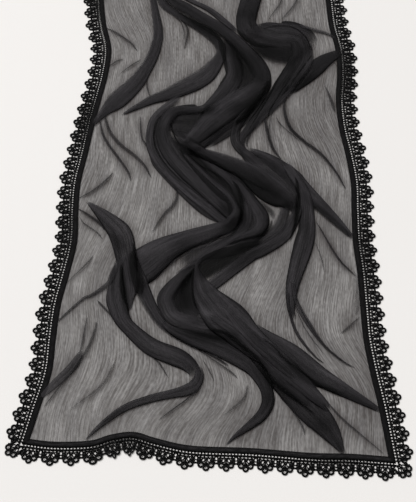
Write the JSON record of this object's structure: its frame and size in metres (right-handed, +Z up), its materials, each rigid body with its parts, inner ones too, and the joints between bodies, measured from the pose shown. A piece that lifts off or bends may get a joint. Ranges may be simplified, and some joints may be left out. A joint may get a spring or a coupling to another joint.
{
  "type": "dupatta stole",
  "caption": "Sheer crinkled chiffon stole laid flat with gathered folds, edged all round with a plain hem band and scalloped flower lace.",
  "frame": {"origin": "middle of the laid-out stole, on the surface it lies on", "axes": "+Z up from the surface, +Y along the stole's length from its near end to its far end, +X across it to the right"},
  "size_m": [0.7665, 2.1079, 0.012],
  "materials": {
    "chiffon": "sheer matte crinkled chiffon",
    "band_cloth": "close matte weave",
    "lace_thread": "corded lace thread with a faint gloss"
  },
  "bodies": {
    "root": {"chiffon_panel": "chiffon", "band_near": "band_cloth", "band_right": "band_cloth", "band_far": "band_cloth", "band_left": "band_cloth", "lace_near": "lace_thread", "lace_right": "lace_thread", "lace_far": "lace_thread", "lace_left": "lace_thread"}
  },
  "joints": []
}
